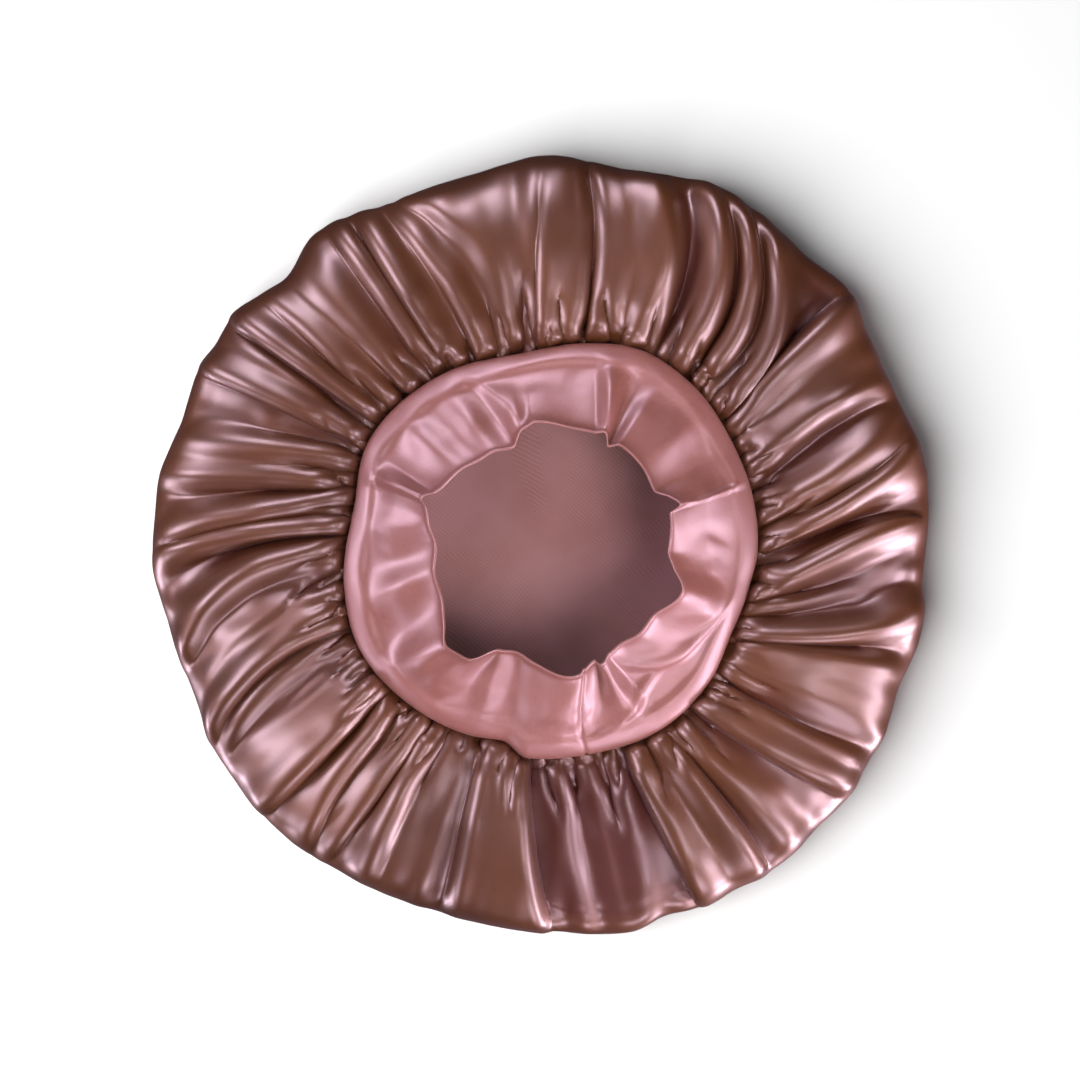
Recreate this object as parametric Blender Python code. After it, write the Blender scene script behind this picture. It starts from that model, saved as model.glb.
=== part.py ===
"""Sleep bonnet: a round satin crown gathered into a wide satin band.

The bonnet lies on its crown with the band uppermost, so its opening faces up.
The crown is cut as one flat circle of cloth. Its middle rests on the surface,
its sides turn over at a scalloped rim, and its edge is gathered to the band's
seam. The band rolls over that seam and leans inwards to its wavy free edge.

Metres, +Z up. The origin is on the resting plane, under the middle of the
bonnet. Tables are in degrees and millimetres. Their angles run anticlockwise
from +X about the middle of the band.
"""

import math
from collections import namedtuple

import bmesh
import bpy
import numpy as np

MM = 0.001

# Driving dimensions
SATIN_WALL = 2.4 * MM  # crown cloth with its gathers pressed together
BAND_WALL = 2.0 * MM  # the band is satin folded double
SEAM_GAP = 0.3 * MM  # between the crown's gathered edge and the band
BAND_RISE = 20.0 * MM  # from the top of the seam roll up to the free edge
MEAN_FREE_RADIUS = 57.0 * MM
EDGE_CLIMB = 0.45  # where the free edge spreads outwards it stands this much higher

Outline = namedtuple("Outline", "degrees radius")
Section = namedtuple("Section", "cloth out up")
Pleat = namedtuple("Pleat", "seam middle rim at_seam at_middle at_rim")

# The scalloped rim: a row for each crest and notch.
RIM = [
    Outline(0, 173.6), Outline(13, 177.0), Outline(27, 174.6), Outline(35, 177.4),
    Outline(41.5, 183.2), Outline(49, 180.1), Outline(65.5, 184.7), Outline(79, 178.5),
    Outline(90.5, 181.9), Outline(101, 177.3), Outline(112, 175.7), Outline(126.5, 182.1),
    Outline(134, 175.1), Outline(144.5, 182.4), Outline(148.5, 181.2), Outline(153, 182.6),
    Outline(161, 180.1), Outline(171, 183.9), Outline(179, 182.8), Outline(183, 183.4),
    Outline(191, 179.4), Outline(202.5, 177.2), Outline(211, 180.4), Outline(225.5, 180.0),
    Outline(242.5, 176.0), Outline(259.5, 174.8), Outline(270, 176.6), Outline(282, 180.7),
    Outline(287.5, 177.2), Outline(292.5, 179.3), Outline(298.5, 178.0), Outline(305, 180.0),
    Outline(314, 177.7), Outline(319.5, 178.9), Outline(326, 176.0), Outline(329.5, 176.5),
    Outline(338.5, 172.4), Outline(346, 175.4), Outline(355, 172.6),
]

# The band's outer edge, where it rolls over the gathers. At 256 degrees a puff
# of the crown pushes it in.
SEAM = [
    Outline(0, 94.8), Outline(30, 96.6), Outline(50, 99.8), Outline(64, 100.7),
    Outline(80, 96.1), Outline(100, 90.9), Outline(120, 94.3), Outline(148, 97.1),
    Outline(168, 92.0), Outline(190, 95.9), Outline(207, 98.4), Outline(230, 95.2),
    Outline(246, 92.5), Outline(256, 89.9), Outline(263.5, 95.7), Outline(280, 95.0),
    Outline(300, 96.4), Outline(320, 94.5), Outline(336, 91.1), Outline(350, 92.5),
]

# The band's free edge: a row for each place where it bends in or out.
FREE_EDGE = [
    Outline(0, 54.5), Outline(10, 55.2), Outline(17.2, 56.1), Outline(19.5, 64.0),
    Outline(24, 60.7), Outline(30, 55.7), Outline(42, 56.6), Outline(56, 58.7),
    Outline(62, 56.1), Outline(66, 58.4), Outline(80, 57.5), Outline(97, 59.8),
    Outline(103, 56.1), Outline(110, 51.1), Outline(125, 52.9), Outline(150, 58.2),
    Outline(158, 61.6), Outline(166, 58.0), Outline(177, 53.4), Outline(200, 54.7),
    Outline(215, 58.9), Outline(223, 63.0), Outline(233, 62.3), Outline(243, 51.1),
    Outline(250, 49.5), Outline(262, 52.9), Outline(280, 58.0), Outline(293, 55.7),
    Outline(304, 53.6), Outline(318, 56.8), Outline(327, 55.9), Outline(343, 63.5),
    Outline(352, 58.0),
]

# The crown's section. "cloth" is the share of the cut circle's radius. On the
# underside "out" is a share of the rim's radius. On the top it is the share of
# the way from the seam (0) to the rim (1).
UNDERSIDE = [
    Section(0.00, 0.000, 0.0), Section(0.52, 0.885, 0.0), Section(0.57, 0.955, 2.6),
    Section(0.61, 0.990, 8.0), Section(0.645, 1.000, 15.5),
]
TOP_SIDE = [
    Section(0.645, 1.000, 15.5), Section(0.69, 0.967, 29.5), Section(0.75, 0.835, 39.8),
    Section(0.82, 0.635, 44.5), Section(0.88, 0.430, 46.8), Section(0.94, 0.210, 46.0),
    Section(0.975, 0.070, 42.0), Section(1.00, -0.032, 35.0),
]

# Rings of vertices along the cloth, as shares of the cut circle's radius.
CROWN_STEPS = (0.0, 0.52, 0.58, 0.645, 0.685, 0.735, 0.81, 0.885, 0.95, 1.0)

# The band's section. "cloth" is the share of its width from the seam, "out" the
# share of the way from its outer edge (0) to its free edge (1), "up" the height
# of the roll before the lean is added.
BAND_SECTION = [
    Section(0.00, 0.078, 35.6), Section(0.06, 0.022, 37.8), Section(0.12, 0.000, 41.4),
    Section(0.20, 0.045, 45.5), Section(0.32, 0.170, 46.6), Section(0.65, 0.570, 46.0),
    Section(1.00, 1.000, 45.0),
]
BAND_STEPS = (0.0, 0.06, 0.13, 0.27, 0.50, 0.75, 1.0)

# The crown's folds: a row for each ridge and each valley, in order. "seam",
# "middle" and "rim" are the angles that its line passes through, and the rest
# its height there. A valley's is negative.
CROWN_PLEATS = [
    Pleat(-1.0, 5.5, 6.0, -3, -8, -1), Pleat(1.2, 8.8, 16.0, 3, 6, 4),
    Pleat(6.8, 11.0, 18.5, -3, -1, 1), Pleat(9.0, 15.0, 21.5, 3, 3, 0),
    Pleat(16.5, 23.0, 23.5, -4, -7, 0), Pleat(22.0, 27.3, 26.5, 3, 5, 2),
    Pleat(30.0, 33.0, 33.5, 0, 1, 2), Pleat(35.5, 38.4, 39.0, 2, 4, 3),
    Pleat(37.0, 40.6, 40.6, -4, -9, -3), Pleat(38.5, 43.5, 57.0, 3, 4, 4),
    Pleat(47.8, 47.6, 60.0, -2, -4, -1), Pleat(49.2, 50.5, 62.5, 2, 3, 3),
    Pleat(52.6, 53.6, 65.0, -4, -6, 1), Pleat(56.0, 57.5, 67.0, 3, 4, 2),
    Pleat(61.5, 64.0, 69.8, -6, -8, -4), Pleat(67.5, 68.4, 76.5, 4, 4.5, 4),
    Pleat(72.5, 75.0, 80.5, 0, 2.5, 3.5), Pleat(79.0, 79.0, 83.5, 3, 2, 3),
    Pleat(81.8, 81.8, 84.5, -6, -3, -1), Pleat(84.5, 84.5, 87.0, 3, 1.5, 1),
    Pleat(91.3, 91.0, 89.0, 4, 4, 2), Pleat(92.8, 92.5, 91.5, -4, 1, 0.5),
    Pleat(97.5, 97.5, 95.5, -5.5, 0, -1.5), Pleat(101.0, 101.5, 112.5, -3, 1.5, 3),
    Pleat(104.0, 106.0, 114.3, -4, -1, -1), Pleat(107.4, 111.0, 115.5, 4, 2.5, 0),
    Pleat(110.5, 113.5, 116.6, -3.5, -1, -1.5), Pleat(117.8, 118.9, 119.2, 4, 4, 2),
    Pleat(119.6, 120.6, 121.5, -4, -3.5, -2.5), Pleat(122.5, 123.0, 123.4, 1.5, 1.5, 2),
    Pleat(124.8, 125.4, 125.5, -4, -3.5, -1), Pleat(130.3, 130.8, 131.0, 3, 2, 1.5),
    Pleat(132.6, 133.5, 134.0, -2.5, 0, -1), Pleat(138.8, 137.8, 137.4, 3.5, 3, 2.5),
    Pleat(140.2, 139.6, 139.4, -2, -1, 1), Pleat(142.3, 143.0, 143.3, 3.5, 4, 4),
    Pleat(143.5, 144.1, 144.8, -5.5, -4.5, -2), Pleat(146.8, 147.0, 147.5, 2, 0, 0),
    Pleat(149.8, 150.9, 151.6, 3.5, 4, 4), Pleat(151.1, 152.2, 153.4, -4.5, -3, -2),
    Pleat(153.2, 156.5, 159.0, -2, -3, 0), Pleat(154.9, 160.2, 164.0, 4, 4, 3),
    Pleat(158.0, 163.0, 166.5, -3, 2, 2), Pleat(160.8, 165.5, 168.4, 3, 3.5, 1),
    Pleat(162.8, 168.5, 173.0, -4.5, -4.5, -2.5), Pleat(165.8, 173.0, 178.4, 3, 3.5, 4),
    Pleat(169.0, 175.0, 180.0, -3, -1, 3), Pleat(173.5, 176.8, 181.2, 4, 4, 3.5),
    Pleat(175.0, 178.6, 186.0, -6, -6.5, -2), Pleat(180.7, 184.2, 197.0, 4, 5.5, 5),
    Pleat(186.6, 189.0, 200.0, -5.5, -3.5, 0), Pleat(192.0, 194.5, 204.0, 1, 0.5, 1),
    Pleat(198.8, 200.7, 208.6, 5, 6, 5.5), Pleat(200.6, 202.4, 211.0, -4, -2.5, 0),
    Pleat(203.5, 205.2, 212.2, 0, 0, 0), Pleat(206.5, 208.4, 214.0, -3, -3.5, -1.5),
    Pleat(218.8, 220.7, 221.3, 6, 7, 6.5), Pleat(220.6, 222.4, 223.2, -3.5, -2.5, 1),
    Pleat(226.3, 226.5, 230.5, 3, 3.5, 2), Pleat(227.8, 228.4, 232.0, -1.5, -2.5, 0),
    Pleat(232.9, 233.4, 233.4, 2, 1.5, 1), Pleat(234.7, 235.0, 234.8, -5, -4, -1.5),
    Pleat(237.4, 238.6, 240.5, 1, 3.5, 4), Pleat(240.5, 241.5, 243.5, -1, -1.5, 2),
    Pleat(247.0, 248.0, 248.5, -3, -2, 0), Pleat(249.8, 251.6, 252.6, -3.5, -4, -3.5),
    Pleat(253.0, 255.0, 256.0, 2.5, 3, 3), Pleat(261.8, 264.6, 268.3, 4, 5, 5),
    Pleat(264.2, 266.8, 271.5, -6, -9, -4), Pleat(272.5, 273.3, 275.0, -4, -6, -3),
    Pleat(276.3, 276.5, 278.0, -7, -9, -3.5), Pleat(280.5, 281.0, 282.0, -4, -7, -3),
    Pleat(286.0, 286.5, 286.6, -3, -5, -1), Pleat(290.2, 291.7, 292.5, -6, -8, -4),
    Pleat(291.9, 293.4, 294.0, 2, 3, 3), Pleat(297.2, 297.8, 298.5, -1.5, 0, 1.5),
    Pleat(300.7, 302.6, 302.6, 3, 4, 5), Pleat(302.2, 304.5, 304.8, -5.5, -5.5, -4),
    Pleat(304.6, 308.5, 309.0, 1, 2, 1.5), Pleat(312.4, 316.3, 319.2, -5, -5, -2.5),
    Pleat(314.0, 318.0, 322.4, 3, 4.5, 5), Pleat(320.2, 323.0, 325.0, 2, 1.5, 2),
    Pleat(321.9, 324.8, 328.5, -5.5, -5, -2.5), Pleat(327.5, 332.0, 335.0, 1.5, 1.5, 2),
    Pleat(332.5, 338.0, 340.0, 2.5, 2.5, 2), Pleat(334.7, 341.4, 344.5, -6, -6, -2),
    Pleat(336.2, 343.0, 351.0, 4, 5.5, 6), Pleat(340.5, 349.5, 356.5, -3, -6, -4),
    Pleat(342.3, 351.8, 358.5, 2.5, -5, -3.5), Pleat(345.0, 354.0, 361.0, -3, -6, -3),
    Pleat(346.8, 360.0, 364.0, 4, 3.5, 0),
]

# The same for the band, from its outer edge to its free edge.
BAND_PLEATS = [
    Pleat(18.5, 17.3, 17.0, 0, 3, 3), Pleat(21.0, 20.5, 19.5, -1, -2.5, -1.5),
    Pleat(28.0, 29.0, 29.0, 0, -2, -1), Pleat(41.0, 42.0, 43.0, 0.5, 1.5, 1),
    Pleat(53.0, 56.0, 56.8, -0.5, -1.5, -1.5), Pleat(61.0, 61.8, 60.6, -1.5, -3.5, -3),
    Pleat(74.0, 70.0, 64.5, 1, 3, 3), Pleat(79.0, 75.0, 70.0, 0, -1.5, -1),
    Pleat(96.0, 98.0, 99.0, 0, -2, -0.5), Pleat(117.0, 108.5, 104.5, 1, 3, 2.5),
    Pleat(120.0, 114.5, 110.5, 0, -2, -1.5), Pleat(124.0, 122.0, 120.0, 1, 0.5, 0.5),
    Pleat(130.0, 130.0, 129.0, -0.5, -1.5, -1), Pleat(139.0, 139.0, 138.0, 0.5, 0.5, 0.5),
    Pleat(149.0, 151.5, 153.5, -1, -2.5, -1), Pleat(159.3, 157.3, 158.0, 0, 4, 4),
    Pleat(162.3, 160.3, 160.8, -2, -0.5, -0.5), Pleat(172.0, 171.0, 170.0, 0, 1.5, 1),
    Pleat(185.5, 184.0, 180.0, -1, -2, -1.5), Pleat(196.0, 194.0, 191.0, 0, 1, 1),
    Pleat(212.5, 208.0, 205.0, -1.5, -2.5, -1), Pleat(216.5, 218.3, 222.3, 1, 3.5, 3.5),
    Pleat(226.0, 227.0, 230.0, 0.5, 1.5, 1.5), Pleat(235.0, 237.0, 238.0, 0, -1, -1),
    Pleat(245.0, 246.0, 245.0, 0, 0.5, 1), Pleat(251.0, 254.0, 256.0, -1, -1.5, -0.5),
    Pleat(272.0, 275.5, 282.0, 1, 2.5, 2), Pleat(283.5, 287.0, 291.6, -1, -3, -2.5),
    Pleat(298.0, 296.2, 294.2, 1, 2.5, 3), Pleat(305.0, 303.0, 299.5, 0, -3, -2),
    Pleat(330.0, 325.0, 317.0, 0, -1.5, -1), Pleat(346.0, 338.0, 333.0, 0.5, 1, 1),
    Pleat(352.0, 352.0, 350.0, -0.5, -1.5, -1),
]

CROWN_FACETS = 2  # facets from each ridge to the next valley
BAND_FACETS = 4
CROWN_FOLD_SHARE = 0.6  # how much of its height a fold keeps in so thick a wall
BAND_FOLD_SHARE = 0.8
SEWN_SHARE = 0.06  # over this share of the way out, folds rise from the flat seam
RIM_EASE = 0.6  # how much of its height a fold loses as it turns over the rim
FOLDS_END_UP = (3.0, 24.0)  # heights between which folds fade out under the rim


def smooth_step(low, high, value):
    """0 below low, 1 above high, and an S curve between."""
    share = np.clip((value - low) / (high - low), 0.0, 1.0)
    return share * share * (3.0 - 2.0 * share)


def slopes_of(places, values):
    """Slopes for a cubic through rows that never overshoots them."""
    steps = np.diff(places)
    rates = np.diff(values) / steps
    slopes = np.zeros(len(places))
    same_way = rates[:-1] * rates[1:] > 0.0
    near, far = rates[:-1][same_way], rates[1:][same_way]
    slopes[1:-1][same_way] = 2.0 * near * far / (near + far)
    return slopes


def along_rows(places, values, at):
    """The cubic through the rows, at the places asked for."""
    places, values = np.asarray(places, float), np.asarray(values, float)
    slopes = slopes_of(places, values)
    index = np.clip(np.searchsorted(places, at, side="right") - 1, 0, len(places) - 2)
    width = places[index + 1] - places[index]
    share = np.clip((at - places[index]) / width, 0.0, 1.0)
    rest = 1.0 - share
    return (
        values[index] * rest * rest * (1.0 + 2.0 * share)
        + values[index + 1] * share * share * (3.0 - 2.0 * share)
        + width * slopes[index] * share * rest * rest
        - width * slopes[index + 1] * share * share * rest
    )


def radius_at(outline, degrees):
    """An outline's radius in metres, all the way round."""
    rows = [(row.degrees + turn, row.radius) for turn in (-360, 0, 360) for row in outline]
    places, values = zip(*rows)
    return along_rows(places, values, degrees % 360.0) * MM


def along_line(at_seam, at_middle, at_rim, way):
    """A value that far along its line: a parabola through its three values."""
    bend = 2.0 * (at_seam + at_rim - 2.0 * at_middle)
    return at_seam + (at_rim - at_seam - bend) * way + bend * way * way


def pleated(pleats, pattern_degrees, way):
    """Angle and lift of the cloth, whose pattern holds the same width for each pleat."""
    once = np.array(pleats)
    onwards = once[:1] + (360.0, 360.0, 360.0, 0.0, 0.0, 0.0)
    lines = np.concatenate([once, onwards]).T
    place = pattern_degrees % 360.0 / 360.0 * len(pleats)
    index = np.minimum(np.floor(place + 1e-4).astype(int), len(pleats) - 1)
    share = np.clip(place - index, 0.0, 1.0)
    before, after = lines[:, index], lines[:, index + 1]
    start, end = along_line(*before[:3], way), along_line(*after[:3], way)
    low, high = along_line(*before[3:], way), along_line(*after[3:], way)
    climb = np.where(high > low, share, 1.0 - share)
    hanging = 1.0 - np.cos(math.pi / 2.0 * climb)
    lift = np.minimum(low, high) + np.abs(high - low) * hanging
    return start + (end - start) * share, lift * MM


def crown_way(cloth):
    """How far out a place on the crown's top lies: 0 at the seam and 1 at the rim."""
    places = [row.cloth for row in TOP_SIDE]
    return along_rows(places, [row.out for row in TOP_SIDE], np.maximum(cloth, places[0]))


def crown_section(degrees, cloth):
    """The crown's radius and height before any fold."""
    seam, rim = radius_at(SEAM, degrees), radius_at(RIM, degrees)
    under, top = list(zip(*UNDERSIDE)), list(zip(*TOP_SIDE))
    on_top = cloth > top[0][0]
    radius = np.where(
        on_top,
        seam + (rim - seam) * crown_way(cloth),
        rim * along_rows(under[0], under[1], cloth),
    )
    height = np.where(on_top, along_rows(top[0], top[2], cloth), along_rows(under[0], under[2], cloth))
    return radius, height * MM


def band_way(cloth):
    """How far in a place on the band lies: 0 at its outer edge and 1 at its free edge."""
    return along_rows([row.cloth for row in BAND_SECTION], [row.out for row in BAND_SECTION], cloth)


def band_section(degrees, cloth):
    """The band's radius and height before any crease."""
    outer, free = radius_at(SEAM, degrees), radius_at(FREE_EDGE, degrees)
    roll = along_rows([row.cloth for row in BAND_SECTION], [row.up for row in BAND_SECTION], cloth) * MM
    rise = BAND_RISE + EDGE_CLIMB * (free - MEAN_FREE_RADIUS)
    lean = cloth * (0.5 + 0.5 * cloth)
    return outer - (outer - free) * band_way(cloth), SEAM_GAP + roll + rise * lean


def facing(section, degrees, cloth):
    """The section's outward direction in its own plane, as (radial, up) parts."""
    step = 0.004
    ahead = section(degrees, np.minimum(cloth + step, 1.0))
    behind = section(degrees, np.maximum(cloth - step, 0.0))
    run, climb = ahead[0] - behind[0], ahead[1] - behind[1]
    length = np.maximum(np.hypot(run, climb), 1e-9)
    return climb / length, -run / length


def crown_point(pattern_degrees, cloth, depth):
    """Angle, radius and height of a point of the cut circle once it is gathered."""
    way = np.clip(crown_way(cloth), 0.0, 1.0)
    degrees, lift = pleated(CROWN_PLEATS, pattern_degrees, way)
    radius, height = crown_section(degrees, cloth)
    outward, upward = facing(crown_section, degrees, cloth)
    lift *= CROWN_FOLD_SHARE * smooth_step(0.0, SEWN_SHARE, way)
    lift *= 1.0 - RIM_EASE * smooth_step(0.85, 1.0, way)
    lift *= smooth_step(FOLDS_END_UP[0] * MM, FOLDS_END_UP[1] * MM, height)
    # Folds stand up or bulge outwards, and never lean in over the seam.
    away = np.maximum(outward, 0.0)
    return degrees, radius + away * lift - outward * depth, height + upward * (lift - depth)


def band_point(pattern_degrees, cloth, depth):
    """Angle, radius and height of a point of the band's strip once it is made up."""
    way = np.clip(band_way(cloth), 0.0, 1.0)
    degrees, lift = pleated(BAND_PLEATS, pattern_degrees, way)
    radius, height = band_section(degrees, cloth)
    outward, upward = facing(band_section, degrees, cloth)
    move = BAND_FOLD_SHARE * lift * smooth_step(0.10, 0.50, cloth) - depth
    return degrees, radius + outward * move, height + upward * move


def revolved(name, profile, sides):
    """A closed shell spun from (distance, depth) points, still in pattern space."""
    shell = bmesh.new()
    points = [shell.verts.new((distance, 0.0, depth)) for distance, depth in profile]
    edges = [shell.edges.new(pair) for pair in zip(points, points[1:])]
    bmesh.ops.spin(
        shell,
        geom=points + edges,
        axis=(0.0, 0.0, 1.0),
        cent=(0.0, 0.0, 0.0),
        angle=math.tau,
        steps=sides,
        use_merge=True,
    )
    bmesh.ops.remove_doubles(shell, verts=shell.verts, dist=1e-6)
    bmesh.ops.recalc_face_normals(shell, faces=shell.faces)
    mesh = bpy.data.meshes.new(name)
    shell.to_mesh(mesh)
    shell.free()
    return mesh


def made_up(mesh, place, pattern_inset):
    """Each vertex's place in the bonnet, from its place in the pattern."""
    pattern = np.empty(len(mesh.vertices) * 3)
    mesh.vertices.foreach_get("co", pattern)
    across, along, depth = pattern.reshape(-1, 3).T
    cloth = np.clip(np.hypot(across, along) - pattern_inset, 0.0, 1.0)
    degrees, radius, height = place(np.degrees(np.arctan2(along, across)), cloth, depth)
    angle = np.radians(degrees)
    return np.column_stack([radius * np.cos(angle), radius * np.sin(angle), height])


def satin(name, colour, roughness):
    """A plain satin finish."""
    material = bpy.data.materials.new(name)
    material.use_nodes = True
    shader = material.node_tree.nodes["Principled BSDF"]
    shader.inputs["Base Color"].default_value = (*colour, 1.0)
    shader.inputs["Roughness"].default_value = roughness
    shader.inputs["Metallic"].default_value = 0.0
    return material


def finished(name, mesh, points, material):
    """Stores the shaped points and makes the object of one piece."""
    mesh.vertices.foreach_set("co", points.ravel())
    mesh.materials.append(material)
    mesh.shade_smooth()
    mesh.update()
    piece = bpy.data.objects.new(name, mesh)
    bpy.context.scene.collection.objects.link(piece)
    return piece


def both_faces(steps, wall, inset):
    """The pattern's profile: out along its right side and back along its reverse."""
    right_side = [(inset + cloth, 0.0) for cloth in steps]
    reverse = [(inset + cloth, wall) for cloth in reversed(steps)]
    return right_side + reverse


def shaped_crown():
    """The crown's mesh in pattern space, and its points once gathered."""
    sides = CROWN_FACETS * len(CROWN_PLEATS)
    mesh = revolved("crown", both_faces(CROWN_STEPS, SATIN_WALL, 0.0), sides)
    return mesh, made_up(mesh, crown_point, 0.0)


def shaped_band():
    """The band's mesh in pattern space, and its points once made up."""
    inset = 1.0
    profile = both_faces(BAND_STEPS, BAND_WALL, inset)
    mesh = revolved("band", profile + profile[:1], BAND_FACETS * len(BAND_PLEATS))
    return mesh, made_up(mesh, band_point, inset)


def main():
    """Builds the bonnet's two pieces, centred over the origin."""
    for leftover in list(bpy.data.objects):
        bpy.data.objects.remove(leftover)
    crown_mesh, crown_points = shaped_crown()
    band_mesh, band_points = shaped_band()
    lowest, highest = crown_points.min(axis=0), crown_points.max(axis=0)
    centring = (lowest + highest) / 2.0
    centring[2] = lowest[2]
    finished("crown", crown_mesh, crown_points - centring, satin("crown_satin", (0.22, 0.125, 0.105), 0.32))
    finished("band", band_mesh, band_points - centring, satin("band_satin", (0.55, 0.26, 0.24), 0.35))


main()
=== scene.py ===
"""Dresses the sleep bonnet: a satin crown gathered into a wide, folded satin band.

The bonnet lies on its crown with the opening upwards. Both pieces are cut flat,
then every point of the cloth is carried from its place in the flat pattern to its
place in the made-up bonnet. Angles run anticlockwise from +X about the middle of
the band, in degrees. Table lengths are in millimetres, and everything else is in
metres.
"""

import logging
import math
from dataclasses import dataclass
from enum import Enum
from typing import Callable, NamedTuple, Sequence

import bmesh
import bpy
import numpy as np
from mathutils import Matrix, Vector


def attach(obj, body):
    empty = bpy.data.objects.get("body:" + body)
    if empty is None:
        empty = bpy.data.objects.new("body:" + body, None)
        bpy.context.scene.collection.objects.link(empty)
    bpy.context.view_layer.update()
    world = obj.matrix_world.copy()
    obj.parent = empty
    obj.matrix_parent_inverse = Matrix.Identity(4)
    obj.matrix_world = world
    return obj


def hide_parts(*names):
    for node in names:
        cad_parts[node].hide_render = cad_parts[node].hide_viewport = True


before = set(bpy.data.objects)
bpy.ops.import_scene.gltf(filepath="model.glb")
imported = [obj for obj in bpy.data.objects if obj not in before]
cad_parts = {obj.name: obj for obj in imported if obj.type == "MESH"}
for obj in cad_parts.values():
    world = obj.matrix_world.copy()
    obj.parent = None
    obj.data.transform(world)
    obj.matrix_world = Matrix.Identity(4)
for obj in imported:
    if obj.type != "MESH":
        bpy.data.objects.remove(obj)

Array = np.ndarray
Pair = tuple[Array, Array]
Trio = tuple[Array, Array, Array]
Span = tuple[float, float]
Triple = tuple[float, float, float]
Placer = Callable[[Array, Array, Array], Trio]  # from the pattern into the bonnet

LOG = logging.getLogger("sleep_bonnet")
MM = 0.001
WHITE = (1.0, 1.0, 1.0)
BAND_CENTRE = (4.33 * MM, -1.89 * MM)  # the middle of the band, from the origin


class Outline(NamedTuple):
    """One row of an outline: a radius at an angle."""

    degrees: float
    radius: float


class Section(NamedTuple):
    """One row of a cross-section, from a share of the cloth to its place."""

    cloth: float
    out: float
    up: float


class Grain(NamedTuple):
    """The angles that a line of the mesh has at the seam and at the far edge."""

    seam: float
    far: float


class Fold(NamedTuple):
    """A fold: its three angles, the stretch it fills, its height, its flanks and their steepness."""

    seam: float
    middle: float
    edge: float
    start: float
    end: float
    lift: float
    before: float
    after: float
    power: float


class Pleat(NamedTuple):
    """A ridge or a valley: its angles, then its heights, at the seam, half way and at the edge."""

    seam: float
    middle: float
    edge: float
    at_seam: float
    at_middle: float
    at_edge: float


class Side(Enum):
    """The two sides of the satin."""

    RIGHT = 0
    REVERSE = 1


# The scalloped rim, a row for each crest and notch.
RIM = [Outline(*row) for row in (
    (0, 173.6), (13, 177.0), (27, 174.6), (35, 177.4), (41.5, 183.2), (49, 180.1), (65.5, 184.7),
    (79, 178.5), (90.5, 181.9), (101, 177.3), (112, 175.7), (126.5, 182.1), (134, 175.1),
    (144.5, 182.4), (148.5, 181.2), (153, 182.6), (161, 180.1), (171, 183.9), (179, 182.8),
    (183, 183.4), (191, 179.4), (202.5, 177.2), (211, 180.4), (225.5, 180.0), (242.5, 176.0),
    (259.5, 174.8), (270, 176.6), (282, 180.7), (287.5, 177.2), (292.5, 179.3), (298.5, 178.0),
    (305, 180.0), (314, 177.7), (319.5, 178.9), (326, 176.0), (329.5, 176.5), (338.5, 172.4),
    (346, 175.4), (355, 172.6),
)]
# The band's outer edge, over the crown's gathers.
SEAM = [Outline(*row) for row in (
    (0, 94.8), (30, 96.6), (50, 99.8), (64, 100.7), (80, 96.1), (100, 90.9), (120, 94.3),
    (148, 97.1), (168, 92.0), (190, 95.9), (207, 98.4), (230, 95.2), (246, 92.5), (256, 89.9),
    (263.5, 95.7), (280, 95.0), (300, 96.4), (320, 94.5), (336, 91.1), (350, 92.5),
)]
# The wavy edge of the opening.
FREE_EDGE = [Outline(*row) for row in (
    (0, 54.5), (10, 55.2), (17.2, 56.1), (19.5, 64.0), (24, 60.7), (30, 55.7), (42, 56.6),
    (56, 58.7), (62, 56.1), (66, 58.4), (80, 57.5), (97, 59.8), (103, 56.1), (110, 51.1),
    (125, 52.9), (150, 58.2), (158, 61.6), (166, 58.0), (177, 53.4), (200, 54.7), (215, 58.9),
    (223, 63.0), (233, 62.3), (243, 51.1), (250, 49.5), (262, 52.9), (280, 58.0), (293, 55.7),
    (304, 53.6), (318, 56.8), (327, 55.9), (343, 63.5), (352, 58.0),
)]
# The crown from its middle to the rim, as shares of the rim's radius.
UNDERSIDE = [Section(*row) for row in (
    (0.00, 0.000, 0.0), (0.52, 0.885, 0.0), (0.57, 0.960, 2.2), (0.61, 0.990, 7.5),
    (0.645, 1.000, 15.0),
)]
# The crown from the rim to the seam, as shares of the way out from the seam.
TOP_SIDE = [Section(*row) for row in (
    (0.645, 1.000, 15.0), (0.672, 0.990, 24.0), (0.705, 0.945, 32.5), (0.76, 0.820, 39.8),
    (0.82, 0.640, 44.0), (0.88, 0.430, 45.8), (0.93, 0.250, 45.8), (0.965, 0.110, 44.0),
    (0.985, 0.035, 41.2), (1.00, -0.032, 36.2),
)]
# The band from its roll to its free edge, as shares of the way in.
BAND_SECTION = [Section(*row) for row in (
    (0.00, 0.085, 36.8), (0.06, 0.026, 38.2), (0.10, 0.002, 40.0), (0.135, 0.012, 41.8),
    (0.20, 0.075, 43.8), (0.30, 0.185, 45.0), (0.40, 0.290, 43.8), (0.65, 0.570, 44.8),
    (1.00, 1.000, 45.0),
)]
# How the crown's cloth turns on its way to the rim.
CROWN_GRAIN = [Grain(*row) for row in (
    (0, 14), (20, 25), (34, 38), (40, 52), (58, 66.5), (70.5, 79.5), (83, 86), (92, 93),
    (108, 112), (118, 119.5), (142, 143), (155, 160), (165, 176), (174, 182), (181, 196),
    (198, 209), (212, 217), (220, 222.5), (234, 234.5), (250, 253), (263, 269), (277, 279),
    (291, 293), (302, 306), (313, 320), (322, 328), (336, 350), (346, 362),
)]
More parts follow.
